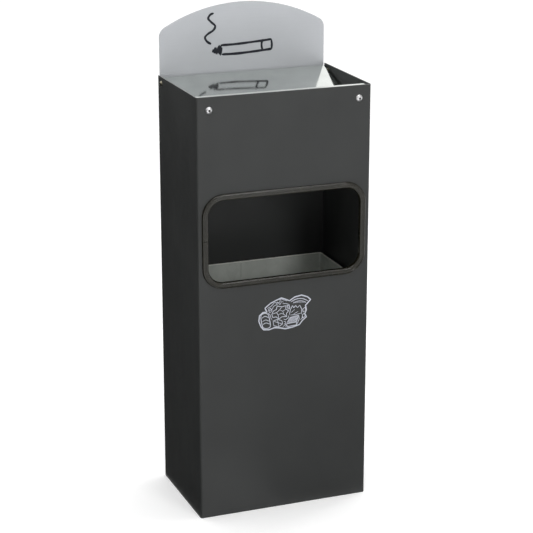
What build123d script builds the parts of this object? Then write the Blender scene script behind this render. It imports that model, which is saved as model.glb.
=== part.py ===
from build123d import *
import math
import os

# Ashtray bin: a folded steel housing with a wide mouth in front, a galvanised liner inside it,
# a polished ash tray on two side pins at the top, and a sign plate fixed behind the body.
# Millimetres. X is to the right seen from the front, Y is to the back, Z is up.
# The origin is on the ground, under the middle of the whole object.

# Body, driving sizes
body_width = 250.0
body_depth = 160.0
body_height = 600.0
sheet = 1.25  # steel sheet of housing, rear panel and floor panel
bend_outer = 3.0  # outer radius of their bends
rest_gap = 0.3  # between a moving piece and what it rests on
fit_gap = 0.05  # radial, between a pin, screw or rivet and its hole

# Mouth in the front wall and its rubber trim
mouth_side = 14.5  # from the body's side to the clear opening inside the trim
mouth_height = 115.0
mouth_drop = 199.0  # the mouth's centre lies this far below the rim
mouth_corner = 22.0
trim_face = 8.5  # width of the trim seen from the front
trim_proud = 3.0  # how far the trim stands out in front of the wall
trim_web = 2.0  # rubber between the mouth and the cut edge of the sheet
trim_inner_leg = 6.0  # width of the leg behind the wall
trim_inner_thick = 2.5
trim_round = 2.2  # rounding of the trim's front edges
trim_joint_gap = 0.4
trim_joint_rise = 3.0  # the butt joint lies this far above the mouth's centre line

# Rear panel
rear_flange = 20.0  # forward-turned side flanges
rear_flange_start = 30.0  # the lower pair starts this high
rear_flange_clear = 15.0  # from the liner's rim down to the lower pair, and from the mouth up to the upper
rear_flange_top_gap = 42.0  # the upper pair stops this far below the rim
rear_top_drop = 5.0  # the panel's top edge lies this far below the rim
wall_hole_radius = 3.5
wall_hole_spacing_x = 150.0
wall_hole_low_z = 120.0
wall_hole_drop = 100.0  # the upper pair lies this far below the rim
buffer_radius = 12.0
buffer_thick = 3.0
buffer_round = 0.8

# Floor panel
floor_flange = 20.0
floor_notch = 8.0  # the flanges stop this far from the corners
floor_corner = 4.0
drain_radius = 4.0
drain_inset = 35.0

# Sign plate
sign_inset = 2.5  # from the body's side
sign_thick = 1.5
sign_rise = 95.0  # top of the arch above the rim
sign_arch_radius = 235.0
sign_shoulder = 15.0  # rounding where the arch meets the sides
sign_foot = 65.0  # how far the plate reaches below the rim
sign_foot_corner = 6.0
sign_rivet_inset = 27.5  # from the plate's side edge
sign_rivet_drops = (20.0, 50.0)  # below the rim
rivet_radius = 2.0
rivet_head_radius = 4.0
rivet_head = 1.0

# Tray pins
pin_radius = 2.0
pin_inset = 14.0  # pin axis in front of the body's back
pin_tray_gap = 0.33  # between the pin and the tray's underside
pin_head_radius = 3.75
pin_head = 2.2
push_nut_radius = 4.5
push_nut_thick = 1.2
pin_end = 1.2  # pin length beyond the tray's flange

# Ash tray
tray_sheet = 1.0
tray_bend = 1.5  # outer radius of its side bends
tray_foot_bend = 4.0  # radius of the bend at the foot of the front upstand
tray_side_gap = 0.4  # between the push nut and the tray's flange
tray_back_gap = 3.0  # between its back edge and the rear panel
tray_back_drop = 2.5  # its back edge lies this far below the rim
tray_slope = 17.2  # degrees
tray_flange = 12.0
tray_lip_drop = 2.0  # the lip's top below the rim
tray_lip_gap = 1.5  # between the lip and the front wall
tray_lip = 16.0  # length of the lip from front to back

# Rest brackets behind the front wall, and their screws
bracket_width = 20.0
bracket_height = 24.0
bracket_reach = 8.5
bracket_sheet = 2.0
pad_radius = 3.0
pad_thick = 1.0
screw_inset = 17.5  # from the body's side
screw_drop = 18.0
screw_radius = 2.5
screw_head_radius = 4.75
screw_head = 2.75
screw_socket_radius = 1.6
screw_socket_depth = 1.5
washer_radius = 5.0
washer_thick = 1.0
nut_flats = 8.0
nut_thick = 2.7
screw_end = 1.0  # screw length beyond the nut

# Liner
liner_sheet = 0.8
liner_side_gap = 5.25  # from the side walls' inner faces to the rim hem
liner_bracket_gap = 1.0  # between the hem and the rest brackets that it passes on its way out
liner_back_gap = 5.0  # from the rear panel's inner face
liner_drop = 23.5  # its rim lies this far below the mouth
liner_hem = 8.0
liner_bend = 4.0
liner_seam = 15.0  # overlap of the shell's two ends on its back wall
liner_base_rise = 2.0
liner_base_flange = 12.0
liner_rivet_radius = 1.6
liner_rivet_head_radius = 3.2
liner_rivet_inset = 38.5  # from the hem's side

# Places that follow from the sizes above
side_x = body_width / 2
front_y = -body_depth / 2
back_y = body_depth / 2
inner_x = side_x - sheet
inner_front_y = front_y + sheet
inner_back_y = back_y - sheet
bend_inner = bend_outer - sheet
mouth_width = body_width - 2 * mouth_side
mouth_centre_z = body_height - mouth_drop
trim_outer_width = mouth_width + 2 * trim_face
trim_outer_height = mouth_height + 2 * trim_face
cutout_width = mouth_width + 2 * trim_web
cutout_height = mouth_height + 2 * trim_web
wall_hole_high_z = body_height - wall_hole_drop
sign_width = body_width - 2 * sign_inset
sign_rivet_x = sign_width / 2 - sign_rivet_inset
screw_x = side_x - screw_inset
screw_z = body_height - screw_drop
tray_x = inner_x - push_nut_thick - tray_side_gap
tray_back_y = inner_back_y - tray_back_gap
tray_back_z = body_height - tray_back_drop
tray_lip_z = body_height - tray_lip_drop
tray_lip_y = inner_front_y + tray_lip_gap
tray_upstand_y = tray_lip_y + tray_lip
slope = math.radians(tray_slope)
tray_foot_z = tray_back_z - (tray_back_y - tray_upstand_y) * math.tan(slope)
pin_y = back_y - pin_inset
pin_plate_z = tray_back_z - (tray_back_y - pin_y) * math.tan(slope)  # the tray's top face above the pin
pin_z = pin_plate_z - (tray_sheet + pin_tray_gap + pin_radius) / math.cos(slope)
pad_top_z = tray_lip_z - tray_sheet - rest_gap
bracket_top_z = pad_top_z - pad_thick
liner_x = inner_x - liner_side_gap - liner_sheet
liner_front_y = inner_front_y + bracket_reach + liner_bracket_gap + liner_sheet
liner_back_y = inner_back_y - liner_back_gap - liner_sheet
liner_rim_z = mouth_centre_z - mouth_height / 2 - liner_drop
liner_rivet_x = inner_x - liner_side_gap - liner_rivet_inset
liner_foot_z = sheet + rest_gap
over = 1.0  # how far a cutting tool runs past the surface that it cuts


def block(low, high):
    """A box given by its lowest and its highest corner."""
    size = [b - a for a, b in zip(low, high)]
    return Pos(*low) * Box(*size, align=(Align.MIN, Align.MIN, Align.MIN))


def upright(solid, radius, chosen):
    """Rounds the upright edges of a solid that the test picks by their centre."""
    edges = [edge for edge in solid.edges().filter_by(Axis.Z) if chosen(edge.center())]
    return fillet(edges, radius)


def rod_y(radius, x, z, y_low, y_high):
    """A round bar along Y."""
    bar = Cylinder(radius, y_high - y_low)
    return Pos(x, (y_low + y_high) / 2, z) * Rot(90, 0, 0) * bar


def rod_x(radius, y, z, x_low, x_high):
    """A round bar along X."""
    bar = Cylinder(radius, x_high - x_low)
    return Pos((x_low + x_high) / 2, y, z) * Rot(0, 90, 0) * bar


def mouth_prism(width, height, corner, y_low, y_high):
    """A rounded rectangle round the mouth's centre, standing from y_low to y_high."""
    outline = RectangleRounded(width, height, corner)
    solid = extrude(outline, y_high - y_low)
    return Pos(0, y_high, mouth_centre_z) * Rot(90, 0, 0) * solid


def dome(radius, height):
    """A flat-based dome on the XY plane, as on a button-head screw or a rivet."""
    cap_radius = (radius**2 + height**2) / (2 * height)
    ball = Pos(0, 0, height - cap_radius) * Sphere(cap_radius)
    return ball & Pos(0, 0, height / 2) * Cylinder(radius, height)


def wall_hole_places():
    """Centres (x, z) of the four wall-fixing holes."""
    half = wall_hole_spacing_x / 2
    return [(x, z) for x in (-half, half) for z in (wall_hole_low_z, wall_hole_high_z)]


def sign_rivet_places():
    """Centres (x, z) of the rivets that hold the sign plate."""
    heights = [body_height - drop for drop in sign_rivet_drops]
    return [(x, z) for x in (-sign_rivet_x, sign_rivet_x) for z in heights]


def make_housing():
    """Front and sides, folded from one sheet, open at the back, the top and the bottom."""
    outer = block((-side_x, front_y, 0), (side_x, back_y, body_height))
    outer = upright(outer, bend_outer, lambda c: c.Y < 0)
    inner = block((-inner_x, inner_front_y, -over), (inner_x, back_y + over, body_height + over))
    inner = upright(inner, bend_inner, lambda c: c.Y < 0)
    shell = outer - inner
    corner = mouth_corner + trim_web
    shell -= mouth_prism(cutout_width, cutout_height, corner, front_y - over, inner_front_y + over)
    for x in (-screw_x, screw_x):
        shell -= rod_y(screw_radius + fit_gap, x, screw_z, front_y - over, inner_front_y + over)
    shell -= rod_x(pin_radius + fit_gap, pin_y, pin_z, -side_x - over, side_x + over)
    return shell


def rear_flange_spans():
    """Heights (low, high) of the flanged stretches: beside the liner, and above the mouth."""
    mouth_top_z = mouth_centre_z + mouth_height / 2
    low = (rear_flange_start, liner_rim_z - rear_flange_clear)
    high = (mouth_top_z + rear_flange_clear, body_height - rear_flange_top_gap)
    return low, high


def folded_stretch(z_low, z_high):
    """A stretch of the rear panel with its two side flanges turned forward."""
    flange_y = inner_back_y - rear_flange
    outer = block((-inner_x, flange_y, z_low), (inner_x, back_y, z_high))
    outer = upright(outer, bend_outer, lambda c: c.Y > inner_back_y)
    inner_low = (-inner_x + sheet, flange_y - over, z_low - over)
    inner = block(inner_low, (inner_x - sheet, inner_back_y, z_high + over))
    inner = upright(inner, bend_inner, lambda c: c.Y > flange_y)
    return outer - inner


def make_rear_panel():
    """Flat panel between the sides, with side flanges turned forward and welded to them."""
    low, high = rear_flange_spans()
    panel = folded_stretch(*low) + folded_stretch(*high)
    top_z = body_height - rear_top_drop
    for z_low, z_high in ((0, low[0]), (low[1], high[0]), (high[1], top_z)):
        panel += block((-inner_x, inner_back_y, z_low), (inner_x, back_y, z_high))
    for x, z in wall_hole_places():
        panel -= rod_y(wall_hole_radius, x, z, inner_back_y - over, back_y + over)
    for x, z in sign_rivet_places():
        panel -= rod_y(rivet_radius + fit_gap, x, z, inner_back_y - over, back_y + over)
    return panel


def make_floor_panel():
    """Floor plate with four upturned flanges inside the walls, and drain holes."""
    plate = block((-inner_x, inner_front_y, 0), (inner_x, inner_back_y, sheet))
    plate = upright(plate, floor_corner, lambda c: True)
    x_stop = inner_x - floor_notch
    y_front = inner_front_y + floor_notch
    y_back = inner_back_y - floor_notch
    plate += block((-x_stop, inner_front_y, 0), (x_stop, inner_front_y + sheet, floor_flange))
    plate += block((-x_stop, inner_back_y - sheet, 0), (x_stop, inner_back_y, floor_flange))
    plate += block((-inner_x, y_front, 0), (-inner_x + sheet, y_back, floor_flange))
    plate += block((inner_x - sheet, y_front, 0), (inner_x, y_back, floor_flange))
    for x in (-inner_x + drain_inset, inner_x - drain_inset):
        for y in (inner_front_y + drain_inset, inner_back_y - drain_inset):
            plate -= Pos(x, y, sheet / 2) * Cylinder(drain_radius, sheet + 2 * over)
    return plate


def make_opening_trim():
    """Rubber edge profile: a U that grips the cut edge of the sheet all round the mouth."""
    face_y = front_y - trim_proud
    rear_y = inner_front_y + trim_inner_thick
    face = mouth_prism(trim_outer_width, trim_outer_height, mouth_corner + trim_face, face_y, front_y)
    web = mouth_prism(cutout_width, cutout_height, mouth_corner + trim_web, face_y, rear_y)
    leg_width = mouth_width + 2 * trim_inner_leg
    leg_height = mouth_height + 2 * trim_inner_leg
    leg = mouth_prism(leg_width, leg_height, mouth_corner + trim_inner_leg, inner_front_y, rear_y)
    ring = face + web + leg
    ring -= mouth_prism(mouth_width, mouth_height, mouth_corner, face_y - over, rear_y + over)
    front_edges = [edge for edge in ring.edges() if abs(edge.center().Y - face_y) < trim_round / 10]
    ring = fillet(front_edges, trim_round)
    joint_z = mouth_centre_z + trim_joint_rise
    joint_low = (-trim_outer_width / 2 - over, face_y - over, joint_z - trim_joint_gap / 2)
    return ring - block(joint_low, (0, rear_y + over, joint_z + trim_joint_gap / 2))


def make_sign_plate():
    """Flat plate with an arched top, riveted to the rear panel's outer face."""
    half = sign_width / 2
    top_z = body_height + sign_rise
    foot_z = body_height - sign_foot
    arch_centre_z = top_z - sign_arch_radius
    plate = block((-half, back_y, foot_z), (half, back_y + sign_thick, top_z))
    arch = rod_y(sign_arch_radius, 0, arch_centre_z, back_y - over, back_y + sign_thick + over)
    plate = plate & arch
    shoulder_z = arch_centre_z + math.sqrt(sign_arch_radius**2 - half**2)
    across = plate.edges().filter_by(Axis.Y)
    shoulders = [edge for edge in across if abs(edge.center().Z - shoulder_z) < over]
    plate = fillet(shoulders, sign_shoulder)
    across = plate.edges().filter_by(Axis.Y)
    feet = [edge for edge in across if abs(edge.center().Z - foot_z) < over]
    plate = fillet(feet, sign_foot_corner)
    for x, z in sign_rivet_places():
        plate -= rod_y(rivet_radius + fit_gap, x, z, back_y - over, back_y + sign_thick + over)
    return plate


def make_sign_rivets():
    """Four rivets through the sign plate and the rear panel, heads on both sides."""
    rivets = []
    for x, z in sign_rivet_places():
        outer_y = back_y + sign_thick
        shank = rod_y(rivet_radius, x, z, inner_back_y - rivet_head / 2, outer_y + rivet_head / 2)
        outer = Pos(x, outer_y, z) * Rot(-90, 0, 0) * dome(rivet_head_radius, rivet_head)
        inner = Pos(x, inner_back_y, z) * Rot(90, 0, 0) * dome(rivet_head_radius, rivet_head)
        rivets.append(shank + outer + inner)
    return rivets


def make_wall_buffers():
    """Four rubber rings round the wall-fixing holes, which hold the body off the wall."""
    rings = []
    for x, z in wall_hole_places():
        ring = rod_y(buffer_radius, x, z, back_y, back_y + buffer_thick)
        ring = fillet(ring.edges().group_by(Axis.Y)[-1], buffer_round)
        rings.append(ring - rod_y(wall_hole_radius, x, z, back_y - over, back_y + buffer_thick + over))
    return rings


def tray_flange_slot(x_low, x_high):
    """The slot that drops over a pin: round at its top, open at the flange's lower edge."""
    radius = pin_radius + fit_gap
    slot = rod_x(radius, pin_y, pin_z, x_low, x_high)
    slot += block((x_low, pin_y - radius, pin_z - 2 * tray_flange), (x_high, pin_y + radius, pin_z))
    return slot


def make_ash_tray():
    """Polished tray: a sloping plate with turned-down sides, a front upstand and a lip."""
    half_sheet = tray_sheet / 2
    line = FilletPolyline(
        (tray_back_y - tray_foot_bend, tray_back_z - tray_foot_bend * math.tan(slope) - half_sheet),
        (tray_upstand_y - half_sheet, tray_foot_z - half_sheet),
        (tray_upstand_y - half_sheet, tray_lip_z - half_sheet),
        (tray_lip_y, tray_lip_z - half_sheet),
        radius=[tray_foot_bend, tray_bend],
    )
    profile = Plane.YZ * trace(line, tray_sheet)
    tray = extrude(profile, tray_x - tray_bend, both=True)
    run = (tray_back_y - tray_upstand_y - tray_foot_bend) / math.cos(slope)
    section = Rectangle(2 * tray_x, tray_flange, align=(Align.CENTER, Align.MAX))
    section = fillet(section.vertices().group_by(Axis.Y)[-1], tray_bend)
    hollow = Rectangle(2 * (tray_x - tray_sheet), tray_flange, align=(Align.CENTER, Align.MAX))
    hollow = fillet(hollow.vertices().group_by(Axis.Y)[-1], tray_bend - tray_sheet)
    section -= Pos(0, -tray_sheet) * hollow
    back_edge = Plane(
        origin=(0, tray_back_y, tray_back_z),
        x_dir=(1, 0, 0),
        z_dir=(0, -math.cos(slope), -math.sin(slope)),
    )
    tray += extrude(back_edge * section, run)
    tray -= block((-side_x, tray_back_y, 0), (side_x, back_y + over, body_height + over))
    for x_low, x_high in ((-tray_x - over, -tray_x + 2 * over), (tray_x - 2 * over, tray_x + over)):
        tray -= tray_flange_slot(x_low, x_high)
    return tray


def make_tray_pin(side):
    """Pin through a side wall: domed head outside, plain end inside for the tray's slot."""
    inner_end = tray_x - tray_sheet - pin_end
    pin = rod_x(pin_radius, pin_y, pin_z, inner_end, side_x + pin_head / 2)
    pin += Pos(side_x, pin_y, pin_z) * Rot(0, 90, 0) * dome(pin_head_radius, pin_head)
    return pin if side > 0 else mirror(pin, Plane.YZ)


def make_pin_push_nuts():
    """A push nut on each pin, tight against the inside of the wall."""
    nuts = []
    for side in (-1, 1):
        ends = sorted((side * inner_x, side * (inner_x - push_nut_thick)))
        nut = rod_x(push_nut_radius, pin_y, pin_z, *ends)
        nuts.append(nut - rod_x(pin_radius + fit_gap, pin_y, pin_z, ends[0] - over, ends[1] + over))
    return nuts


def make_rest_bracket(x):
    """Small angle behind the front wall: its upper leg carries the tray's lip."""
    half = bracket_width / 2
    plate_y = inner_front_y + bracket_sheet
    low_z = bracket_top_z - bracket_height
    angle = block((x - half, inner_front_y, low_z), (x + half, plate_y, bracket_top_z))
    leg_low = (x - half, inner_front_y, bracket_top_z - bracket_sheet)
    angle += block(leg_low, (x + half, inner_front_y + bracket_reach, bracket_top_z))
    bend = [
        edge
        for edge in angle.edges().filter_by(Axis.X)
        if abs(edge.center().Y - inner_front_y) < fit_gap and abs(edge.center().Z - bracket_top_z) < fit_gap
    ]
    angle = fillet(bend, bracket_sheet * 0.9)
    return angle - rod_y(screw_radius + fit_gap, x, screw_z, inner_front_y - over, plate_y + over)


def make_rest_pads():
    """A rubber pad glued on each bracket, under the lip."""
    y = inner_front_y + bracket_reach - pad_radius - rest_gap
    pad = Pos(0, y, bracket_top_z + pad_thick / 2) * Cylinder(pad_radius, pad_thick)
    return [Pos(x, 0, 0) * pad for x in (-screw_x, screw_x)]


def screw_stack():
    """Y of the bracket's, the washer's and the nut's inner faces, and of the screw's end."""
    bracket = inner_front_y + bracket_sheet
    washer = bracket + washer_thick
    nut = washer + nut_thick
    return bracket, washer, nut, nut + screw_end


def make_front_screws():
    """Domed socket screws through the front wall and the brackets."""
    screws = []
    for x in (-screw_x, screw_x):
        screw = rod_y(screw_radius, x, screw_z, front_y - screw_head / 2, screw_stack()[3])
        screw += Pos(x, front_y, screw_z) * Rot(90, 0, 0) * dome(screw_head_radius, screw_head)
        socket = extrude(RegularPolygon(screw_socket_radius, 6), screw_socket_depth + over)
        screw -= Pos(x, front_y - screw_head + screw_socket_depth, screw_z) * Rot(90, 0, 0) * socket
        screws.append(screw)
    return screws


def make_front_washers():
    """Washers between brackets and nuts."""
    low, high = screw_stack()[0:2]
    washers = []
    for x in (-screw_x, screw_x):
        washer = rod_y(washer_radius, x, screw_z, low, high)
        washers.append(washer - rod_y(screw_radius + fit_gap, x, screw_z, low - over, high + over))
    return washers


def make_front_nuts():
    """Hexagon nuts behind the washers."""
    low, high = screw_stack()[1:3]
    nuts = []
    for x in (-screw_x, screw_x):
        hexagon = RegularPolygon(nut_flats / 2, 6, major_radius=False)
        nut = Pos(x, high, screw_z) * Rot(90, 0, 0) * extrude(hexagon, high - low)
        nuts.append(nut - rod_y(screw_radius + fit_gap, x, screw_z, low - over, high + over))
    return nuts


def liner_tube(grow, z_low, z_high):
    """A rounded upright block: the liner's outline, grown by an amount on every side."""
    low = (-liner_x - grow, liner_front_y - grow, z_low)
    solid = block(low, (liner_x + grow, liner_back_y + grow, z_high))
    return upright(solid, liner_bend + grow, lambda c: True)


def liner_rivet_rows():
    """Centres (x, y, direction) of the rivets that join the liner's base to its shell."""
    rows = [(x, liner_front_y, -1) for x in (-liner_rivet_x, liner_rivet_x)]
    return rows + [(x, liner_back_y, 1) for x in (-liner_rivet_x, liner_rivet_x)]


def liner_rivet_z():
    """Height of those rivets, halfway up the base's flange."""
    return liner_foot_z + liner_base_rise + liner_base_flange / 2


def make_liner_shell():
    """Four walls folded from one galvanised sheet, with a hem folded out round the rim."""
    shell = liner_tube(0, liner_foot_z, liner_rim_z)
    shell += liner_tube(liner_sheet, liner_rim_z - liner_hem, liner_rim_z)
    shell -= liner_tube(-liner_sheet, liner_foot_z - over, liner_rim_z + over)
    seam_low_z = liner_foot_z + liner_base_rise + liner_base_flange + over
    seam_low = (-liner_seam / 2, liner_back_y - 2 * liner_sheet, seam_low_z)
    shell += block(seam_low, (liner_seam / 2, liner_back_y - liner_sheet, liner_rim_z))
    for x, y, way in liner_rivet_rows():
        ends = sorted((y - 3 * way * liner_sheet, y + way * over))
        shell -= rod_y(liner_rivet_radius + fit_gap, x, liner_rivet_z(), *ends)
    return shell


def make_liner_base():
    """Base pan of the liner, with a flange turned up inside the shell."""
    low_z = liner_foot_z + liner_base_rise
    pan = liner_tube(-liner_sheet, low_z, low_z + liner_base_flange)
    pan -= liner_tube(-2 * liner_sheet, low_z + liner_sheet, low_z + liner_base_flange + over)
    for x, y, way in liner_rivet_rows():
        ends = sorted((y - 3 * way * liner_sheet, y + way * over))
        pan -= rod_y(liner_rivet_radius + fit_gap, x, liner_rivet_z(), *ends)
    return pan


def make_liner_rivets():
    """Rivets through the shell and the base's flange."""
    rivets = []
    for x, y, way in liner_rivet_rows():
        inner_y = y - 2 * way * liner_sheet
        ends = sorted((inner_y - way * liner_sheet / 2, y + way * liner_sheet / 2))
        rivet = rod_y(liner_rivet_radius, x, liner_rivet_z(), *ends)
        head = dome(liner_rivet_head_radius, liner_sheet)
        rivet += Pos(x, y, liner_rivet_z()) * Rot(-90 * way, 0, 0) * head
        rivet += Pos(x, inner_y, liner_rivet_z()) * Rot(90 * way, 0, 0) * head
        rivets.append(rivet)
    return rivets


def write(name, shape):
    """Writes one node. A list of separate solids becomes one compound."""
    if isinstance(shape, list):
        shape = Compound(children=[solid for item in shape for solid in item.solids()])
    export_step(shape, f"parts/{name}.step")


os.makedirs("parts", exist_ok=True)
write("housing", make_housing())
write("rear_panel", make_rear_panel())
write("floor_panel", make_floor_panel())
write("opening_trim", make_opening_trim())
write("sign_plate", make_sign_plate())
write("sign_rivets", make_sign_rivets())
write("wall_buffers", make_wall_buffers())
write("ash_tray", make_ash_tray())
write("tray_pin_left", make_tray_pin(-1))
write("tray_pin_right", make_tray_pin(1))
write("pin_push_nuts", make_pin_push_nuts())
write("rest_bracket_left", make_rest_bracket(-screw_x))
write("rest_bracket_right", make_rest_bracket(screw_x))
write("rest_pads", make_rest_pads())
write("front_screws", make_front_screws())
write("front_washers", make_front_washers())
write("front_nuts", make_front_nuts())
write("liner_shell", make_liner_shell())
write("liner_base", make_liner_base())
write("liner_rivets", make_liner_rivets())
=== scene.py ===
import math

import bmesh
import bpy
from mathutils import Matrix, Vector


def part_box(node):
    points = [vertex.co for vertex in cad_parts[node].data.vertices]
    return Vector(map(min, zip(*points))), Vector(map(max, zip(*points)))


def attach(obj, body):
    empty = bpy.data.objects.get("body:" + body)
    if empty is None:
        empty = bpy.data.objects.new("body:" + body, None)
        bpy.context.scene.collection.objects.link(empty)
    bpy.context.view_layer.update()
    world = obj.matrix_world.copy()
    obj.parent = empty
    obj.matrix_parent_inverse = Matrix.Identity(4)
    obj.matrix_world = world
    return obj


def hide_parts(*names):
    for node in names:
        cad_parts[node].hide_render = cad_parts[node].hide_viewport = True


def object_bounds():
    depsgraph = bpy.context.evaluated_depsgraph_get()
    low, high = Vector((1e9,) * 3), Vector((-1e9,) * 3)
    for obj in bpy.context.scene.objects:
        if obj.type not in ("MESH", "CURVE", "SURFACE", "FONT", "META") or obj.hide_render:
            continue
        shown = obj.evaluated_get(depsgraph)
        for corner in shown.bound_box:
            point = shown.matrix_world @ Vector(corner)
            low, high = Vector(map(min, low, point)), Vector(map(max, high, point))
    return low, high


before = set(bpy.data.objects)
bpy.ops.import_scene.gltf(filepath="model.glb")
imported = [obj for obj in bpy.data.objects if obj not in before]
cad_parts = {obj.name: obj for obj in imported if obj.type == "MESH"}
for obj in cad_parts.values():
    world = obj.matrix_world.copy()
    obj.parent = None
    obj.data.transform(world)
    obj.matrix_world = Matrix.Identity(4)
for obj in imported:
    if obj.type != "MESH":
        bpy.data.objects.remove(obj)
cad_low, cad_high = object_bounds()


# ---- Folded body: housing, rear panel and floor panel ----
# Steel sheet, cut, folded and spot-welded, then powder coated in a fine-textured anthracite.
# The cut edges round the rim are painted as a lighter line, a painted highlight for the light they catch.
MM = 0.001  # lengths are written in millimetres times this
coat_dark = (0.0225, 0.0240, 0.0236, 1)
coat_light = (0.0262, 0.0280, 0.0274, 1)
# painted highlight: the light line laid on the sheet's cut edges
cut_edge_highlight = (0.205, 0.210, 0.208, 1)
coat_rough = (0.48, 0.58)
coat_drift = 90 * MM
coat_handling = 35 * MM
coat_grain = 0.7 * MM
coat_relief = 0.05 * MM
coat_wave = 6 * MM
coat_wave_relief = 0.02 * MM
# height of the painted highlight band at the top of each panel
highlight_band = 0.15 * MM


def wire(tree, socket, value):
    """Sets a socket, or links it when the value is another node's output."""
    if isinstance(value, bpy.types.NodeSocket):
        tree.links.new(value, socket)
    else:
        socket.default_value = value


def start_material(name, metal, rough):
    """A new material: itself, its node tree and its shader."""
    material = bpy.data.materials.new(name)
    material.use_nodes = True
    tree = material.node_tree
    shader = tree.nodes["Principled BSDF"]
    shader.inputs["Metallic"].default_value = metal
    shader.inputs["Roughness"].default_value = rough
    return material, tree, shader


def place_in_part(tree, stretch=(1, 1, 1)):
    """The point's place in the part, in metres, stretched along the axes for streaky finishes."""
    where = tree.nodes.new("ShaderNodeTexCoord").outputs["Object"]
    mapping = tree.nodes.new("ShaderNodeMapping")
    mapping.inputs["Scale"].default_value = stretch
    tree.links.new(where, mapping.inputs["Vector"])
    return mapping.outputs["Vector"]


def cloud(tree, grain, detail=2.0, stretch=(1, 1, 1)):
    """Noise from 0 to 1 with features about one grain wide."""
    noise = tree.nodes.new("ShaderNodeTexNoise")
    noise.inputs["Scale"].default_value = 1 / grain
    noise.inputs["Detail"].default_value = detail
    tree.links.new(place_in_part(tree, stretch), noise.inputs["Vector"])
    return noise.outputs["Fac"]


def tint(tree, factor, low, high, start=0.3, end=0.7):
    """A colour that runs from low to high as the factor goes from start to end."""
    ramp = tree.nodes.new("ShaderNodeValToRGB")
    ramp.color_ramp.elements[0].position = start
    ramp.color_ramp.elements[0].color = low
    ramp.color_ramp.elements[1].position = end
    ramp.color_ramp.elements[1].color = high
    tree.links.new(factor, ramp.inputs["Fac"])
    return ramp.outputs["Color"]


def spread(tree, factor, low, high, start=0.3, end=0.7):
    """A number that runs from low to high as the factor goes from start to end."""
    reach = tree.nodes.new("ShaderNodeMapRange")
    for name, value in (("From Min", start), ("From Max", end), ("To Min", low), ("To Max", high)):
        reach.inputs[name].default_value = value
    tree.links.new(factor, reach.inputs["Value"])
    return reach.outputs["Result"]


def mix_colours(tree, factor, first, second):
    """The first colour where the factor is 0, the second where it is 1."""
    mix = tree.nodes.new("ShaderNodeMixRGB")
    wire(tree, mix.inputs["Fac"], factor)
    wire(tree, mix.inputs["Color1"], first)
    wire(tree, mix.inputs["Color2"], second)
    return mix.outputs["Color"]


def relief(tree, height, depth, strength=1.0, under=None):
    """A normal bent by a height pattern of that depth, laid over another relief if one is given."""
    bump = tree.nodes.new("ShaderNodeBump")
    bump.inputs["Strength"].default_value = strength
    bump.inputs["Distance"].default_value = depth
    tree.links.new(height, bump.inputs["Height"])
    if under is not None:
        tree.links.new(under, bump.inputs["Normal"])
    return bump.outputs["Normal"]


def beyond(tree, axis, level):
    """1 where the part's x, y or z is above the level, else 0."""
    parts = tree.nodes.new("ShaderNodeSeparateXYZ")
    tree.links.new(place_in_part(tree), parts.inputs["Vector"])
    test = tree.nodes.new("ShaderNodeMath")
    test.operation = "GREATER_THAN"
    test.inputs[1].default_value = level
    tree.links.new(parts.outputs[axis], test.inputs[0])
    return test.outputs[0]


def paint_nodes(material, *names):
    """Gives CAD nodes a material."""
    for name in names:
        for material_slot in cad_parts[name].material_slots:
            material_slot.material = material


def powder_coat(name, highlight_level):
    """Anthracite powder coat, with a painted highlight above the given height, where the sheet's cut edge
    is.
    """
    material, tree, shader = start_material(name, 0.0, 0.45)
    drift = cloud(tree, coat_drift, 4)
    colour = tint(tree, drift, coat_dark, coat_light)
    # painted highlight on the cut edge at the top
    painted_highlight = beyond(tree, "Z", highlight_level)
    wire(tree, shader.inputs["Base Color"], mix_colours(tree, painted_highlight, colour, cut_edge_highlight))
    handled = cloud(tree, coat_handling, 5, (1, 1, 0.4))
    wire(tree, shader.inputs["Roughness"], spread(tree, handled, *coat_rough))
    shader.inputs["Specular IOR Level"].default_value = 0.42
    fine = relief(tree, cloud(tree, coat_grain, 3), coat_relief, 0.6)
    wave = relief(tree, cloud(tree, coat_wave, 1), coat_wave_relief, 0.3, fine)
    wire(tree, shader.inputs["Normal"], wave)
    return material


housing_low, housing_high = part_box("housing")
rear_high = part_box("rear_panel")[1]
floor_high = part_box("floor_panel")[1]
paint_nodes(powder_coat("powder_coat_housing", housing_high.z - highlight_band), "housing")
paint_nodes(powder_coat("powder_coat_rear", rear_high.z - highlight_band), "rear_panel")
paint_nodes(powder_coat("powder_coat_floor", floor_high.z - highlight_band), "floor_panel")


# ---- Trim round the mouth ----
# Extruded rubber edge profile, U-shaped, pushed over the cut edge of the mouth all the way round.
# Its face is embossed with rows of small grains, and its two ends butt on the left side.
trim_face = 8.5 * MM
trim_corner = 30.5 * MM
trim_joint_gap = 0.4 * MM
trim_joint_rise = 3.0 * MM
trim_proud = 3.0 * MM
trim_sheet = 1.25 * MM
trim_web = 2.0 * MM
trim_leg = 6.0 * MM
trim_leg_depth = 2.5 * MM  # how far the inner leg reaches behind the sheet
trim_nose = 2.2 * MM
trim_heel = 0.8 * MM
nose_steps = 8
heel_steps = 4
web_steps = 4
steps_per_grain_row = 4
trim_step = 0.5 * MM
grain_pitch = 2.6 * MM
grain_row = 1.5 * MM
grain_height = 0.35 * MM
grain_from = 2.3 * MM
grain_rows = 3
face_slack = 0.01 * MM
rubber_rough = (0.16, 0.28)
rubber_drift = 12 * MM
rubber_polish = 3 * MM
rubber_skin = 0.35 * MM
rubber_relief = 0.02 * MM
rubber_dark = (0.0064, 0.0058, 0.0026, 1)
rubber_light = (0.0118, 0.0108, 0.0052, 1)


def arc_points(centre, radius, start, end, steps):
    """Points on an arc, from start to end in degrees, both ends included."""
    points = []
    for i in range(steps + 1):
        angle = math.radians(start + (end - start) * i / steps)
        points.append((centre[0] + radius * math.cos(angle), centre[1] + radius * math.sin(angle)))
    return points


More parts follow.
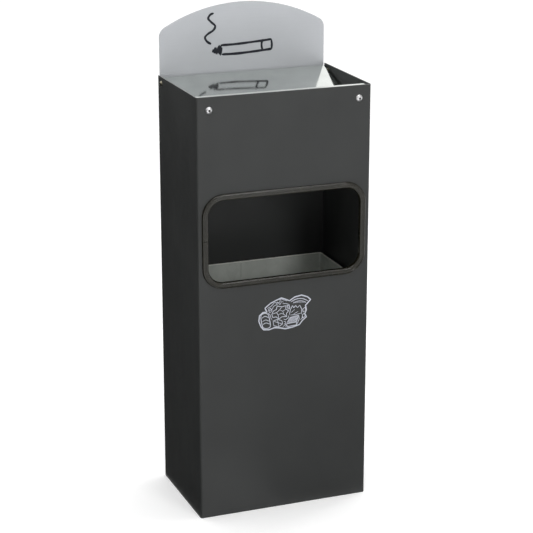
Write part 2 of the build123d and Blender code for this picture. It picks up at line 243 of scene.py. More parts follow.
def trim_section():
    """Closed section of the profile: distance out from the mouth, and depth from the wall's face."""
    nose = trim_nose
    heel = trim_heel
    back = trim_sheet + trim_leg_depth
    section = arc_points((trim_face - nose, -trim_proud + nose), nose, 0, -90, nose_steps)
    face_steps = grain_rows * steps_per_grain_row
    for i in range(1, face_steps):
        out = (trim_face - nose) + (2 * nose - trim_face) * i / face_steps
        section.append((out, -trim_proud))
    section += arc_points((nose, -trim_proud + nose), nose, -90, -180, nose_steps)
    section += [(0.0, back * i / web_steps) for i in range(web_steps)]
    section += arc_points((heel, back - heel), heel, 180, 90, heel_steps)
    section += arc_points((trim_leg - heel, back - heel), heel, 90, 0, heel_steps)
    section += [(trim_leg, trim_sheet), (trim_web, trim_sheet), (trim_web, 0.0), (trim_face, 0.0)]
    return section


def mouth_walk(half_width, half_height, corner, joint_z, gap, step):
    """Stations round the mouth's clear outline, from the joint up and round to the joint again."""
    stations = []
    travelled = 0.0

    def straight(start, end, outward):
        nonlocal travelled
        length = (Vector(end) - Vector(start)).length
        count = math.ceil(length / step)
        for i in range(count):
            point = Vector(start).lerp(Vector(end), i / count)
            stations.append((point, Vector(outward), travelled + length * i / count))
        travelled += length

    def bend(centre, start):
        nonlocal travelled
        length = corner * math.pi / 2
        count = math.ceil(length / step)
        for i in range(count):
            angle = math.radians(start - 90 * i / count)
            outward = Vector((math.cos(angle), math.sin(angle)))
            stations.append((Vector(centre) + outward * corner, outward, travelled + length * i / count))
        travelled += length

    near_x = half_width - corner
    near_z = half_height - corner
    straight((-half_width, joint_z + gap / 2), (-half_width, near_z), (-1, 0))
    bend((-near_x, near_z), 180)
    straight((-near_x, half_height), (near_x, half_height), (0, 1))
    bend((near_x, near_z), 90)
    straight((half_width, near_z), (half_width, -near_z), (1, 0))
    bend((near_x, -near_z), 0)
    straight((near_x, -half_height), (-near_x, -half_height), (0, -1))
    bend((-near_x, -near_z), -90)
    straight((-half_width, -near_z), (-half_width, joint_z - gap / 2), (-1, 0))
    end = Vector((-half_width, joint_z - gap / 2))
    stations.append((end, Vector((-1, 0)), travelled))
    return stations


def grain_dip(along, out):
    """How far the face lies below the tops of its grains."""
    row = (out - grain_from) / grain_row
    if not -0.5 <= row <= grain_rows - 0.5:
        return 0.0
    shift = 0.5 if round(row) % 2 else 0.0
    across = 0.5 + 0.5 * math.cos(2 * math.pi * row)
    lengthwise = 0.5 + 0.5 * math.cos(2 * math.pi * (along / grain_pitch + shift))
    return grain_height * (1 - across * lengthwise)


def add_piece(name, vertices, faces, material, body, sharp=40):
    """A mesh piece with smooth faces and edges kept sharp above an angle, riding on a body."""
    mesh = bpy.data.meshes.new(name)
    mesh.from_pydata(vertices, [], faces)
    work = bmesh.new()
    work.from_mesh(mesh)
    bmesh.ops.recalc_face_normals(work, faces=work.faces)
    work.to_mesh(mesh)
    work.free()
    mesh.shade_smooth()
    mesh.set_sharp_from_angle(angle=math.radians(sharp))
    mesh.materials.append(material)
    piece = bpy.data.objects.new(name, mesh)
    bpy.context.scene.collection.objects.link(piece)
    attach(piece, body)
    return piece


def make_mouth_trim(material):
    """Sweeps the section round the mouth, with the grain pressed into its face."""
    low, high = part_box("opening_trim")
    centre_z = (low.z + high.z) / 2
    wall_y = low.y + trim_proud
    half_width = (high.x - low.x) / 2 - trim_face
    half_height = (high.z - low.z) / 2 - trim_face
    corner = trim_corner - trim_face
    section = trim_section()
    stations = mouth_walk(half_width, half_height, corner, trim_joint_rise, trim_joint_gap, trim_step)
    vertices = []
    faces = []
    for point, outward, along in stations:
        for out, depth in section:
            if depth <= -trim_proud + face_slack:
                depth += grain_dip(along, out)
            spot = point + outward * out
            vertices.append((spot.x, wall_y + depth, centre_z + spot.y))
    count = len(section)
    for i in range(len(stations) - 1):
        for j in range(count):
            k = (j + 1) % count
            faces.append((i * count + j, i * count + k, (i + 1) * count + k, (i + 1) * count + j))
    faces.append(tuple(range(count)))
    faces.append(tuple(range((len(stations) - 1) * count, len(stations) * count)))
    piece = add_piece("mouth_trim", vertices, faces, material, "bin")
    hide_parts("opening_trim")


def edge_rubber():
    """Black rubber with an olive cast and a skin that shines a little where it was pressed."""
    material, tree, shader = start_material("edge_rubber", 0.0, 0.4)
    drift = cloud(tree, rubber_drift, 3)
    wire(tree, shader.inputs["Base Color"], tint(tree, drift, rubber_dark, rubber_light))
    wire(tree, shader.inputs["Roughness"], spread(tree, cloud(tree, rubber_polish, 3), *rubber_rough))
    wire(tree, shader.inputs["Normal"], relief(tree, cloud(tree, rubber_skin, 2), rubber_relief, 0.3))
    return material


make_mouth_trim(edge_rubber())


# ---- Sign plate and its rivets ----
# Aluminium sheet with an arched top, brushed lengthwise and satin anodised, fixed behind the body
# by four blind rivets.
sign_dark = (0.455, 0.470, 0.492, 1)
sign_light = (0.505, 0.521, 0.545, 1)
sign_metal = 0.25  # the anodised film is mostly matt over the metal
sign_rough = (0.38, 0.48)
sign_streak = 40 * MM
sign_drift = 60 * MM
sign_brushing = 20 * MM
sign_relief = 0.01 * MM
rivet_dark = (0.50, 0.50, 0.50, 1)
rivet_light = (0.68, 0.68, 0.68, 1)
rivet_rough = (0.28, 0.45)
rivet_marks = 1.5 * MM
rivet_relief = 0.05 * MM


def satin_silver():
    """Brushed and anodised: fine streaks along X over a very slow drift."""
    material, tree, shader = start_material("satin_silver", sign_metal, 0.42)
    streaks = cloud(tree, sign_streak, 3, (1, 1, 60))
    drift = cloud(tree, sign_drift, 4)
    streaked = tint(tree, streaks, sign_dark, sign_light, 0.25, 0.75)
    drifted = tint(tree, drift, sign_dark, sign_light)
    wire(tree, shader.inputs["Base Color"], mix_colours(tree, 0.5, streaked, drifted))
    wire(tree, shader.inputs["Roughness"], spread(tree, streaks, *sign_rough))
    brushed = relief(tree, cloud(tree, sign_brushing, 2, (1, 1, 90)), sign_relief, 0.25)
    wire(tree, shader.inputs["Normal"], brushed)
    return material


def rivet_aluminium():
    """Plain aluminium, slightly dented by the riveting tool."""
    material, tree, shader = start_material("rivet_aluminium", 1.0, 0.35)
    marks = cloud(tree, rivet_marks, 3)
    wire(tree, shader.inputs["Base Color"], tint(tree, marks, rivet_dark, rivet_light))
    wire(tree, shader.inputs["Roughness"], spread(tree, marks, *rivet_rough))
    wire(tree, shader.inputs["Normal"], relief(tree, marks, rivet_relief, 0.4))
    return material


rivets = rivet_aluminium()
paint_nodes(satin_silver(), "sign_plate")
paint_nodes(rivets, "sign_rivets")


# ---- Cigarette drawing on the sign ----
# Screen-printed in black ink on the plate's front face, as plain brush-like lines: a lit cigarette
# with a filter band, an ash end and a curl of smoke.
ink_thick = 0.06 * MM
ink_layer = 0.002 * MM  # each line lies this much further out than the one before
ink_smooth = 9  # steps on a rounded line between two given points
ink_corner_steps = 3  # and on a straight one
ink_ends = (0.45, 0.85)  # share of the width at the first two steps of an open line
ink_spread = 0.08  # how far its roughness strays either way
ink_patch = 4 * MM
ink_skin = 0.3 * MM
ink_relief = 0.01 * MM
black_ink_dark = (0.006, 0.007, 0.012, 1)
black_ink_light = (0.016, 0.018, 0.026, 1)
cigarette_centre = (-1.0, 630.0)
cigarette_tilt = 1.5  # degrees, right end up
cigarette_lines = [
    # width, closed, rounded and points, all in millimetres from the cigarette's middle
    (3.5, False, True, [(-32, 6.4), (-12, 6.0), (10, 6.6), (30, 7.4), (44, 8.2)]),
    (3.7, False, True, [(-31, -6.6), (-10, -7.4), (12, -7.0), (32, -6.2), (44, -5.6)]),
    (3.3, False, False, [(43.6, 8.6), (44.4, 1.5), (43.8, -6.0)]),
    (3.2, False, True, [(31, 9.2), (29.2, 4.5), (29.0, -1.0), (30.6, -7.6)]),
    (3.5, False, False, [(-31, 7), (-34, -6), (-35.5, 5), (-38, -5), (-39.5, 3.5), (-42, -3), (-44, 1.5)]),
    (3.4, False, False, [(-30, 3), (-33, -7), (-36, 1), (-39, -4.5), (-41, 0.5), (-45, -2.0)]),
    (3.2, False, False, [(-30.5, -2), (-34, 5.8), (-37, -1), (-40.5, 2.8), (-43, -2.4)]),
]
smoke_line = (3.3, False, True, [(-46, 8), (-52, 12), (-55, 18), (-50, 23), (-43, 27), (-40, 33),
                                 (-46, 39), (-50, 44), (-47, 49), (-42, 51)])


def rounded_line(points, closed, rounded):
    """Points along a drawn line: through the given ones, rounded or straight between them."""
    given = [Vector(p) for p in points]
    if not rounded:
        if closed:
            given.append(given[0])
        pairs = list(zip(given, given[1:]))
        path = [a.lerp(b, i / ink_corner_steps) for a, b in pairs for i in range(ink_corner_steps)]
        return path if closed else path + [given[-1]]
    last = len(given) - 1
    path = []
    spans = len(given) if closed else last
    for i in range(spans):
        if closed:
            before, start, end, after = (given[(i + k) % len(given)] for k in (-1, 0, 1, 2))
        else:
            start, end = given[i], given[i + 1]
            before = given[i - 1] if i else 2 * start - end
            after = given[i + 2] if i + 2 <= last else 2 * end - start
        for k in range(ink_smooth):
            t = k / ink_smooth
            curve = (2 * start + (end - before) * t
                     + (2 * before - 5 * start + 4 * end - after) * t**2
                     + (3 * start - before - 3 * end + after) * t**3)
            path.append(curve / 2)
    return path if closed else path + [given[-1]]


def ink_ribbon(vertices, faces, line, middle, tilt, y_face, layer):
    """Adds one printed line: a thin flat ribbon with a pen's slightly uneven width."""
    width, closed, rounded, points = line
    path = rounded_line(points, closed, rounded)
    turn = math.radians(tilt)
    first = len(vertices)
    count = len(path)
    for i, spot in enumerate(path):
        ahead = path[(i + 1) % count] if closed or i + 1 < count else spot
        behind = path[i - 1] if closed or i > 0 else spot
        heading = (ahead - behind).normalized()
        side = Vector((-heading.y, heading.x))
        pen = width * (0.96 + 0.07 * math.sin(0.55 * i + width * 9) + 0.04 * math.sin(0.21 * i))
        if not closed:
            from_end = min(i, count - 1 - i)
            pen *= ink_ends[from_end] if from_end < len(ink_ends) else 1.0
        for edge, near in ((1, 1), (-1, 1), (-1, 0), (1, 0)):
            flat = spot + side * edge * pen / 2
            x = middle[0] + flat.x * math.cos(turn) - flat.y * math.sin(turn)
            z = middle[1] + flat.x * math.sin(turn) + flat.y * math.cos(turn)
            y = y_face - near * (ink_thick + layer * ink_layer)
            vertices.append((x * MM, y, z * MM))
    spans = count if closed else count - 1
    for i in range(spans):
        here = first + 4 * i
        then = first + 4 * ((i + 1) % count)
        for j in range(4):
            k = (j + 1) % 4
            faces.append((here + j, here + k, then + k, then + j))
    if not closed:
        faces.append((first, first + 1, first + 2, first + 3))
        end = first + 4 * (count - 1)
        faces.append((end + 3, end + 2, end + 1, end))


def printing_ink(name, dark, light, rough):
    """Screen ink: nearly even, a little thin in places, with a matt skin."""
    material, tree, shader = start_material(name, 0.0, rough)
    shader.inputs["Specular IOR Level"].default_value = 0.25
    patches = cloud(tree, ink_patch, 4)
    wire(tree, shader.inputs["Base Color"], tint(tree, patches, dark, light))
    wire(tree, shader.inputs["Roughness"], spread(tree, patches, rough - ink_spread, rough + ink_spread))
    wire(tree, shader.inputs["Normal"], relief(tree, cloud(tree, ink_skin, 2), ink_relief, 0.3))
    return material


def make_cigarette_print():
    """The drawing on the sign's front face."""
    sign_face_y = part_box("sign_plate")[0].y
    vertices = []
    faces = []
    for layer, line in enumerate(cigarette_lines):
        ink_ribbon(vertices, faces, line, cigarette_centre, cigarette_tilt, sign_face_y, layer)
    ink_ribbon(vertices, faces, smoke_line, cigarette_centre, 0, sign_face_y, 0)
    ink = printing_ink("black_ink", black_ink_dark, black_ink_light, 0.45)
    add_piece("cigarette_print", vertices, faces, ink, "bin")


make_cigarette_print()


# ---- Litter drawing on the front ----
# Screen-printed in pale grey ink on the powder coat: a heap of everyday litter in outline, with a
# can, a carton, a torn bag, crumpled paper and a paper plate.
grey_ink_dark = (0.42, 0.44, 0.50, 1)
grey_ink_light = (0.56, 0.58, 0.65, 1)
litter_centre = (0.0, 288.5)
litter_lines = [
    # heap's outline
    (1.7, True, False, [(-38, -7), (-37, 1), (-32, 5), (-26, 5), (-29, 11), (-21, 17), (-12, 20.5), (-5, 23),
                        (2, 20), (7, 17.5), (15, 22), (25, 23.5), (34, 20), (38.5, 15.5), (35, 12), (31, 8),
                        (32.5, 1), (30, -4), (32.5, -9), (27, -13), (22, -19), (12, -21.5), (1, -22.5),
                        (-6, -20.5), (-15, -19), (-23, -21), (-31, -20), (-35, -15)]),
    # can, lying at the lower left: body, lid and bands
    (1.1, True, True, [(-35, 0), (-31, 3.4), (-26, 2.6), (-23.5, -1), (-21, -15), (-24, -18.5),
                       (-30, -18), (-33, -14)]),
    (0.9, False, True, [(-33.5, -3), (-29, -0.8), (-23.6, -3.4)]),
    (0.8, False, True, [(-32.8, -8), (-28, -6.2), (-22.6, -8.6)]),
    (0.8, False, True, [(-32.2, -12.5), (-27.5, -10.6), (-21.8, -13)]),
    # crumpled paper in the middle
    (1.0, True, False, [(-19, 1), (-16.5, 5.5), (-12.5, 7), (-11, 12), (-4, 10), (1.5, 11), (1.8, 6),
                        (6, 3), (2.6, -0.5), (3.2, -5), (-4, -4.5), (-8.5, -7.2), (-12.5, -3.5),
                        (-17.5, -4)]),
    (0.8, False, False, [(-19, 1), (-12, 2.5), (-7.5, 6), (-4, 10)]),
    (0.8, False, False, [(-12, 2.5), (-9.5, -1), (-8.5, -7.2)]),
    (0.7, False, False, [(-7.5, 6), (-2.5, 3.4), (1.8, 6)]),
    (0.7, False, False, [(-2.5, 3.4), (-1.5, -1), (3.2, -5)]),
    (0.7, False, False, [(-9.5, -1), (-5, 0.6), (-1.5, -1)]),
    # small ball of paper under it
    (0.9, True, False, [(-17, -9), (-11, -7.5), (-4, -10), (-3, -15), (-9, -18.5), (-16, -16)]),
    (0.7, False, False, [(-17, -9), (-9.5, -12.5), (-3, -15)]),
    (0.7, False, False, [(-11, -7.5), (-9.5, -12.5), (-9, -18.5)]),
    # carton at the lower right
    (1.1, True, False, [(3, -15.5), (8, -7), (21, -5.5), (17.5, -14.5)]),
    (1.1, False, False, [(3, -15.5), (4, -20), (18, -19), (17.5, -14.5)]),
    (1.0, False, False, [(18, -19), (21.8, -10.5), (21, -5.5)]),
    # bag with a torn top behind the carton
    (1.0, False, False, [(7, -3), (8.5, 4), (11.5, 10), (13.5, 6.5), (16.5, 9.5), (19, 6), (22.5, 9),
                         (25.5, 3), (25, -4)]),
    (0.8, False, False, [(10, 0), (15, 4)]),
    (0.8, False, False, [(13, -3), (20, 0.5)]),
    (0.8, False, False, [(8, -3.4), (16, -4.0), (24.5, -2.6)]),
    # paper plate standing at the upper right
    (1.1, False, True, [(9, 15.5), (17, 18.6), (26, 18.4), (34.5, 14.2)]),
    (0.8, False, True, [(12, 13.2), (19, 15.4), (26, 15.0), (32, 11.8)]),
    # scraps on the left of the heap
    (0.8, False, False, [(-26, 10), (-20, 12.5), (-15, 17.5), (-9, 16), (-5, 20)]),
    (0.8, False, False, [(-24, 6.5), (-19, 7.5), (-16, 12.5), (-10, 14.5)]),
    (0.8, False, False, [(-3, 14.5), (2, 14), (6.5, 12), (8, 7.5)]),
    (0.8, True, False, [(-24, 8.5), (-20.5, 9.8), (-18.6, 6.0), (-22, 3.2)]),
    (0.7, False, False, [(-25, 3.5), (-21.5, 0.5), (-20.5, -4), (-18.2, -7.5)]),
    (0.7, False, False, [(-13, 13), (-10.5, 17.8), (-7, 13.5), (-4.5, 17.5), (-1.5, 16.6)]),
    (0.7, False, True, [(-8, 20.2), (-4.6, 21.4), (-1, 19.4), (3.6, 17.6)]),
    # leaf and straw between the paper and the bag
    (0.8, True, True, [(3.4, 11.0), (6.8, 9.6), (7.2, 5.6), (4.6, 6.8)]),
    (0.6, False, False, [(3.8, 10.4), (6.9, 6.2)]),
    (0.8, False, False, [(6.4, -3.8), (5.2, -7.2), (1.4, -9.6), (-1.6, -8.0)]),
    (0.7, False, False, [(-1.6, -11.5), (1.8, -12.6), (0.6, -17.0), (-3.0, -19.4)]),
    (0.7, False, False, [(-0.4, -14.6), (2.4, -17.6), (1.8, -20.6)]),
    # scraps on its right
    (0.8, True, False, [(26.5, -5.5), (29.5, -3), (30.5, -8), (26, -10.5)]),
    (0.8, False, False, [(23.5, -12.5), (27, -9), (26, -4)]),
    (0.8, True, False, [(27, 3), (30.5, 5.5), (31, 0), (27.5, -1.5)]),
]
carton_back_edge = ((8, -7), (21, -5.5))
carton_front_edge = ((3, -15.5), (17.5, -14.5))
carton_hatch = 9
carton_hatch_width = 0.9
plate_top_edge = ((11, 15.4), (33, 14.2))
plate_foot_edge = ((13.5, 13.4), (31, 12))
plate_hatch = 11
plate_hatch_width = 0.7


def hatch_lines(first_edge, second_edge, count, width):
    """Straight lines spread evenly between two edges, as light shading."""
    lines = []
    for i in range(1, count):
        t = i / count
        top = Vector(first_edge[0]).lerp(Vector(first_edge[1]), t)
        foot = Vector(second_edge[0]).lerp(Vector(second_edge[1]), t)
        lines.append((width, False, False, [tuple(top), tuple(foot)]))
    return lines


def make_litter_print():
    """The drawing on the housing's front face."""
    lines = list(litter_lines)
    lines += hatch_lines(carton_back_edge, carton_front_edge, carton_hatch, carton_hatch_width)
    lines += hatch_lines(plate_top_edge, plate_foot_edge, plate_hatch, plate_hatch_width)
    vertices = []
    faces = []
    for layer, line in enumerate(lines):
        ink_ribbon(vertices, faces, line, litter_centre, 0, housing_low.y, layer)
    ink = printing_ink("grey_ink", grey_ink_dark, grey_ink_light, 0.5)
    add_piece("litter_print", vertices, faces, ink, "bin")


make_litter_print()


# ---- Wall buffers and rest pads ----
# Punched from black rubber sheet. The rings sit round the wall-fixing holes behind the body, and
# the small pads are glued on the rest brackets, under the tray's lip.
pad_dark = (0.014, 0.014, 0.014, 1)
pad_light = (0.026, 0.026, 0.025, 1)
pad_rough = (0.62, 0.8)
pad_dust = 5 * MM
pad_grain = 0.5 * MM
pad_relief = 0.05 * MM


def buffer_rubber():
    """Matt rubber with a fine moulded grain and a little dust."""
    material, tree, shader = start_material("buffer_rubber", 0.0, 0.7)
    dust = cloud(tree, pad_dust, 4)
    wire(tree, shader.inputs["Base Color"], tint(tree, dust, pad_dark, pad_light))
    wire(tree, shader.inputs["Roughness"], spread(tree, dust, *pad_rough))
    wire(tree, shader.inputs["Normal"], relief(tree, cloud(tree, pad_grain, 3), pad_relief, 0.5))
    return material


paint_nodes(buffer_rubber(), "wall_buffers", "rest_pads")


# ---- Tray pins and their push nuts ----
# Turned steel pins with a domed head outside each side wall, yellow-passivated, and pressed
# spring-steel push nuts that hold them from inside.
pin_dark = (0.26, 0.235, 0.17, 1)
pin_light = (0.46, 0.43, 0.33, 1)
pin_rough = (0.25, 0.42)
pin_film = 2 * MM
pin_skin = 0.4 * MM
pin_relief = 0.01 * MM


def passivated_steel():
    """Zinc with a warm chromate film that is uneven round the head."""
    material, tree, shader = start_material("passivated_steel", 1.0, 0.32)
    film = cloud(tree, pin_film, 4)
    wire(tree, shader.inputs["Base Color"], tint(tree, film, pin_dark, pin_light))
    wire(tree, shader.inputs["Roughness"], spread(tree, film, *pin_rough))
    wire(tree, shader.inputs["Normal"], relief(tree, cloud(tree, pin_skin, 2), pin_relief, 0.4))
    return material


paint_nodes(passivated_steel(), "tray_pin_left", "tray_pin_right", "pin_push_nuts")


# ---- Rest brackets and front screws ----
# Two small zinc-plated angles behind the front wall carry the tray's lip. Each is held by a
# stainless button-head screw with a hexagon socket, a washer and a nut.
zinc_dark = (0.42, 0.43, 0.44, 1)
zinc_light = (0.60, 0.61, 0.62, 1)
zinc_rough = (0.3, 0.5)
zinc_mottle = 3 * MM
zinc_skin = 0.5 * MM
zinc_relief = 0.01 * MM
screw_dark = (0.74, 0.74, 0.75, 1)
screw_light = (0.88, 0.88, 0.88, 1)
screw_rough = (0.28, 0.40)
screw_marks = 0.8 * MM
screw_relief = 0.01 * MM
# painted shade colour for the hexagon sockets, where shade falls
socket_painted_shade = (0.035, 0.034, 0.032, 1)
socket_radius = 1.6 * MM
socket_fade = (0.9, 1.05)  # the painted shade ends between these shares of the radius


def round_distance(tree, middle_x, middle_z):
    """Distance in the XZ plane from the axes at plus and minus middle_x, at height middle_z."""
    parts = tree.nodes.new("ShaderNodeSeparateXYZ")
    tree.links.new(place_in_part(tree), parts.inputs["Vector"])

    def reckon(operation, first, second=0.0):
        step = tree.nodes.new("ShaderNodeMath")
        step.operation = operation
        wire(tree, step.inputs[0], first)
        wire(tree, step.inputs[1], second)
        return step.outputs[0]

    across = reckon("SUBTRACT", reckon("ABSOLUTE", parts.outputs["X"]), middle_x)
    rise = reckon("SUBTRACT", parts.outputs["Z"], middle_z)
    return reckon("SQRT", reckon("ADD", reckon("POWER", across, 2), reckon("POWER", rise, 2)))


def zinc_plate():
    """Bright zinc with faint mottling."""
    material, tree, shader = start_material("zinc_plate", 1.0, 0.38)
    mottle = cloud(tree, zinc_mottle, 4)
    wire(tree, shader.inputs["Base Color"], tint(tree, mottle, zinc_dark, zinc_light))
    wire(tree, shader.inputs["Roughness"], spread(tree, mottle, *zinc_rough))
    wire(tree, shader.inputs["Normal"], relief(tree, cloud(tree, zinc_skin, 2), zinc_relief, 0.3))
    return material


def bright_stainless():
    """Tumbled stainless steel with tiny random scratches, and painted shade darkening the sockets and bores.
    """
    material, tree, shader = start_material("bright_stainless", 1.0, 0.3)
    marks = cloud(tree, screw_marks, 4)
    bright = tint(tree, marks, screw_dark, screw_light)
    screws_low, screws_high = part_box("front_screws")
    head_radius = (screws_high.z - screws_low.z) / 2
    from_axis = round_distance(tree, screws_high.x - head_radius, screws_low.z + head_radius)
    fade_start, fade_end = (share * socket_radius for share in socket_fade)
    # painted shade: dark colour inside the socket radius, plain steel outside it
    unshaded = spread(tree, from_axis, 0.0, 1.0, fade_start, fade_end)
    wire(tree, shader.inputs["Base Color"], mix_colours(tree, unshaded, socket_painted_shade, bright))
    wire(tree, shader.inputs["Roughness"], spread(tree, marks, *screw_rough))
    wire(tree, shader.inputs["Normal"], relief(tree, marks, screw_relief, 0.3))
    return material


paint_nodes(zinc_plate(), "rest_bracket_left", "rest_bracket_right")
paint_nodes(bright_stainless(), "front_screws", "front_washers", "front_nuts")


# ---- Ash tray ----
# Polished stainless sheet, folded down at the sides and up at the front, with a lip that lies
# behind the front wall. It mirrors the sign, softened by wiping marks and a thin film of ash.
steel_dark = (0.640, 0.665, 0.640, 1)
steel_light = (0.700, 0.725, 0.700, 1)
tray_rough = (0.06, 0.13)
tray_haze = 25 * MM
tray_wiping = 30 * MM
tray_wiping_relief = 0.003 * MM
tray_rolling = 45 * MM
tray_rolling_relief = 0.05 * MM
lip_length = 15.5 * MM
lip_gloss = (0.38, 0.38, 0.38, 1)  # the lip is dulled by the hands that lift the tray


def polished_stainless():
    """Mirror polish with hairlines from wiping and a faint haze."""
    material, tree, shader = start_material("polished_stainless", 1.0, 0.08)
    haze = cloud(tree, tray_haze, 5)
    wire(tree, shader.inputs["Base Color"], tint(tree, haze, steel_dark, steel_light))
    gloss = spread(tree, haze, *tray_rough)
    tray_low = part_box("ash_tray")[0]
    well = beyond(tree, "Y", tray_low.y + lip_length)
    wire(tree, shader.inputs["Roughness"], mix_colours(tree, well, lip_gloss, gloss))
    hairlines = relief(tree, cloud(tree, tray_wiping, 2, (1, 80, 1)), tray_wiping_relief, 0.25)
    rolled = relief(tree, cloud(tree, tray_rolling, 1), tray_rolling_relief, 0.15, hairlines)
    wire(tree, shader.inputs["Normal"], rolled)
    return material


paint_nodes(polished_stainless(), "ash_tray")


# ---- Liner ----
# Lift-out inner bin of galvanised sheet: four folded walls lapped at the back, a hem round the
# rim and a base pan riveted in. The zinc shows its soft crystal pattern.
spangle_size = 9 * MM
spangle_dark = (0.50, 0.530, 0.490, 1)
spangle_light = (0.64, 0.670, 0.625, 1)
spangle_share = 0.6  # of the softer clouds that are laid over the crystals
zinc_skin_metal = 0.25  # weathered zinc is mostly matt
liner_rough = (0.36, 0.52)
liner_clouds = 45 * MM
liner_scuffs = 30 * MM
liner_relief = 0.02 * MM
rim_line = 1.2 * MM
rim_highlight_colour = (0.92, 0.92, 0.86, 1)  # painted highlight along the rim's top band, where the hem catches the light


def galvanised():
    """Hot-dip zinc: crystal patches that differ in tone and gloss, with vertical scuffs and a painted
    highlight along the rim.
    """
    material, tree, shader = start_material("galvanised", zinc_skin_metal, 0.45)
    crystals = tree.nodes.new("ShaderNodeTexVoronoi")
    crystals.inputs["Scale"].default_value = 1 / spangle_size
    tree.links.new(place_in_part(tree), crystals.inputs["Vector"])
    split = tree.nodes.new("ShaderNodeSeparateColor")
    tree.links.new(crystals.outputs["Color"], split.inputs["Color"])
    tone = split.outputs["Red"]
    patches = tint(tree, tone, spangle_dark, spangle_light, 0.0, 1.0)
    clouds = tint(tree, cloud(tree, liner_clouds, 4), spangle_dark, spangle_light)
    scuffs = cloud(tree, liner_scuffs, 4, (25, 25, 1))
    mixed = mix_colours(tree, spangle_share, patches, clouds)
    # painted highlight on the rim's top band
    rim_highlight_mask = beyond(tree, "Z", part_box("liner_shell")[1].z - rim_line)
    wire(tree, shader.inputs["Base Color"], mix_colours(tree, rim_highlight_mask, mixed, rim_highlight_colour))
    wire(tree, shader.inputs["Roughness"], spread(tree, scuffs, *liner_rough))
    facets = relief(tree, tone, liner_relief, 0.15)
    wire(tree, shader.inputs["Normal"], relief(tree, scuffs, liner_relief, 0.2, facets))
    return material


paint_nodes(galvanised(), "liner_shell", "liner_base")
paint_nodes(rivets, "liner_rivets")


# ---- Studio ----
# A pale floor, and far off white paper that only the camera sees. Soft lamps stand above, in front and
# at the back right. Flags that only reflections see, black on the left and grey on the floor in front,
# keep the left side and the front's foot dark.
floor_half = 12.0
floor_colour_low = (0.88, 0.88, 0.88, 1)
floor_colour_high = (0.92, 0.92, 0.92, 1)
floor_glow = 0.22  # keeps the floor white close to the object
backdrop_glow = 1.0
backdrop_low = (0.97, 0.97, 0.97, 1)
backdrop_high = (1.0, 1.0, 1.0, 1)
backdrop_rise = 12.0
backdrop_drift = 4.0
floor_drift = 0.8
sky_front = 0.6
sky_back = 1.25
sky_zenith = 0.25  # added overhead
sky_turn = (-0.1, 0.4)  # the dome brightens towards the back between these
sky_overhead = (0.78, 1.0)  # and towards the top between these
flag_black = 0.01
flag_grey = 0.2
flag_lift = 0.001  # the flags' lower edges are this far above the floor
flag_left_x = -0.45
flag_left_near = -0.3
flag_left_far = 3.5
flag_left_top = 0.65
flag_left_inner = -0.127
flag_front_far_x = 1.0
flag_front_near = -0.9
flag_front_back = -0.09
softboxes = [
    # name, place, width, height, watts
    ("softbox_above", (-0.45, -1.1, 2.7), 0.6, 0.6, 7),
    ("key_front", (0.6, -2.2, 1.25), 0.6, 0.6, 12),
    ("strip_above", (0.83, -0.2, 2.6), 0.5, 0.3, 6),
    ("rim_right", (2.1, 0.9, 1.34), 0.5, 0.5, 8),
]
camera_turn = 21.2  # degrees round from straight in front
camera_tilt = 17.5  # degrees down
camera_distance = 2.54
camera_lens = 121.8
camera_sensor = 36
camera_aim = Vector((0.0037, -0.0015, 0.3326))


def flat_panel(name, corners, material):
    """A flat four-cornered stage piece."""
    mesh = bpy.data.meshes.new(name)
    mesh.from_pydata(corners, [], [(0, 1, 2, 3)])
    mesh.materials.append(material)
    panel = bpy.data.objects.new(name, mesh)
    bpy.context.scene.collection.objects.link(panel)
    return panel


def make_floor():
    """The floor, with a barely visible drift in its tone."""
    material, tree, shader = start_material("studio_floor", 0.0, 0.9)
    shader.inputs["Emission Color"].default_value = (1, 1, 1, 1)
    shader.inputs["Emission Strength"].default_value = floor_glow
    shader.inputs["Specular IOR Level"].default_value = 0.0
    drift = cloud(tree, floor_drift, 2)
    wire(tree, shader.inputs["Base Color"], tint(tree, drift, floor_colour_low, floor_colour_high))
    h = floor_half
    flat_panel("studio_floor", [(-h, -h, 0), (h, -h, 0), (h, h, 0), (-h, h, 0)], material)


def make_backdrop():
    """White paper all round, far off, which only the camera sees, so no horizon shows."""
    material, tree, shader = start_material("backdrop", 0.0, 1.0)
    shader.inputs["Emission Strength"].default_value = backdrop_glow
    drift = cloud(tree, backdrop_drift, 2)
    wire(tree, shader.inputs["Emission Color"], tint(tree, drift, backdrop_low, backdrop_high))
    h = floor_half
    for i, (x, y) in enumerate(((1, 0), (0, 1), (-1, 0), (0, -1))):
        left, right = (x * h - y * h, y * h + x * h), (x * h + y * h, y * h - x * h)
        corners = [(*left, 0), (*right, 0), (*right, backdrop_rise), (*left, backdrop_rise)]
        paper = flat_panel(f"backdrop_{i + 1}", corners, material)
        paper.visible_diffuse = False
        paper.visible_glossy = False
        paper.visible_shadow = False
        paper.visible_transmission = False


def make_flag(name, corners, tone):
    """A cloth of that grey which only reflections see."""
    material, _, shader = start_material(name, 0.0, 1.0)
    shader.inputs["Specular IOR Level"].default_value = 0.0
    shader.inputs["Base Color"].default_value = (tone, tone, tone, 1)
    flag = flat_panel(name, corners, material)
    flag.visible_camera = False
    flag.visible_diffuse = False
    flag.visible_shadow = False
    flag.visible_transmission = False


def make_flags():
    """A black wall and floor strip on the left, and a grey cloth on the floor in front."""
    near, far, lift = flag_left_near, flag_left_far, flag_lift
    left, inner, top = flag_left_x, flag_left_inner, flag_left_top
    wall = [(left, near, lift), (left, far, lift), (left, far, top), (left, near, top)]
    strip = [(left, near, lift), (inner, near, lift), (inner, far, lift), (left, far, lift)]
    make_flag("flag_left", wall, flag_black)
    make_flag("flag_below_left", strip, flag_black)
    right, front, back = flag_front_far_x, flag_front_near, flag_front_back
    cloth = [(0.0, front, lift), (right, front, lift), (right, back, lift), (0.0, back, lift)]
    make_flag("flag_front", cloth, flag_grey)


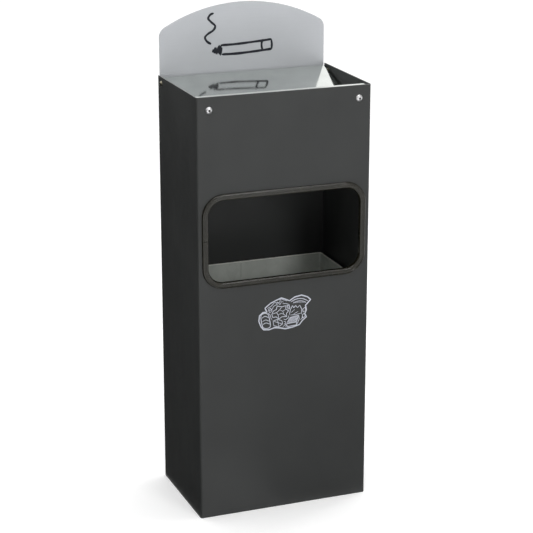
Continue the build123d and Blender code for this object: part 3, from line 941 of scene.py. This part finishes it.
def make_sky():
    """A soft white dome, brighter overhead and behind the object."""
    world = bpy.data.worlds.new("studio_sky")
    bpy.context.scene.world = world
    world.use_nodes = True
    tree = world.node_tree
    background = tree.nodes["Background"]
    background.inputs["Color"].default_value = (1, 1, 1, 1)
    direction = tree.nodes.new("ShaderNodeTexCoord").outputs["Generated"]
    parts = tree.nodes.new("ShaderNodeSeparateXYZ")
    tree.links.new(direction, parts.inputs["Vector"])
    behind = spread(tree, parts.outputs["Y"], sky_front, sky_back, *sky_turn)
    overhead = spread(tree, parts.outputs["Z"], 0.0, sky_zenith, *sky_overhead)
    total = tree.nodes.new("ShaderNodeMath")
    wire(tree, total.inputs[0], behind)
    wire(tree, total.inputs[1], overhead)
    wire(tree, background.inputs["Strength"], total.outputs[0])


def add_softbox(name, place, aim, width, height, watts):
    """A rectangular area light that points at a spot."""
    light = bpy.data.lights.new(name, "AREA")
    light.shape = "RECTANGLE"
    light.size = width
    light.size_y = height
    light.energy = watts
    lamp = bpy.data.objects.new(name, light)
    lamp.location = place
    lamp.rotation_mode = "QUATERNION"
    lamp.rotation_quaternion = (Vector(aim) - Vector(place)).to_track_quat("-Z", "Y")
    lamp.visible_camera = False
    bpy.context.scene.collection.objects.link(lamp)


def make_camera():
    """Looks down at the front from the left, with the whole object in view."""
    turn = math.radians(camera_turn)
    tilt = math.radians(camera_tilt)
    forward = Vector((math.sin(turn) * math.cos(tilt), math.cos(turn) * math.cos(tilt), -math.sin(tilt)))
    data = bpy.data.cameras.new("camera")
    data.lens = camera_lens
    data.sensor_width = camera_sensor
    camera = bpy.data.objects.new("camera", data)
    camera.location = camera_aim - forward * camera_distance
    camera.rotation_mode = "QUATERNION"
    camera.rotation_quaternion = forward.to_track_quat("-Z", "Y")
    bpy.context.scene.collection.objects.link(camera)
    bpy.context.scene.camera = camera


make_floor()
make_backdrop()
make_flags()
make_sky()
middle_z = (cad_low.z + cad_high.z) / 2
for name, place, width, height, watts in softboxes:
    add_softbox(name, place, (0, 0, middle_z), width, height, watts)
make_camera()
bpy.context.scene.view_settings.view_transform = "Standard"
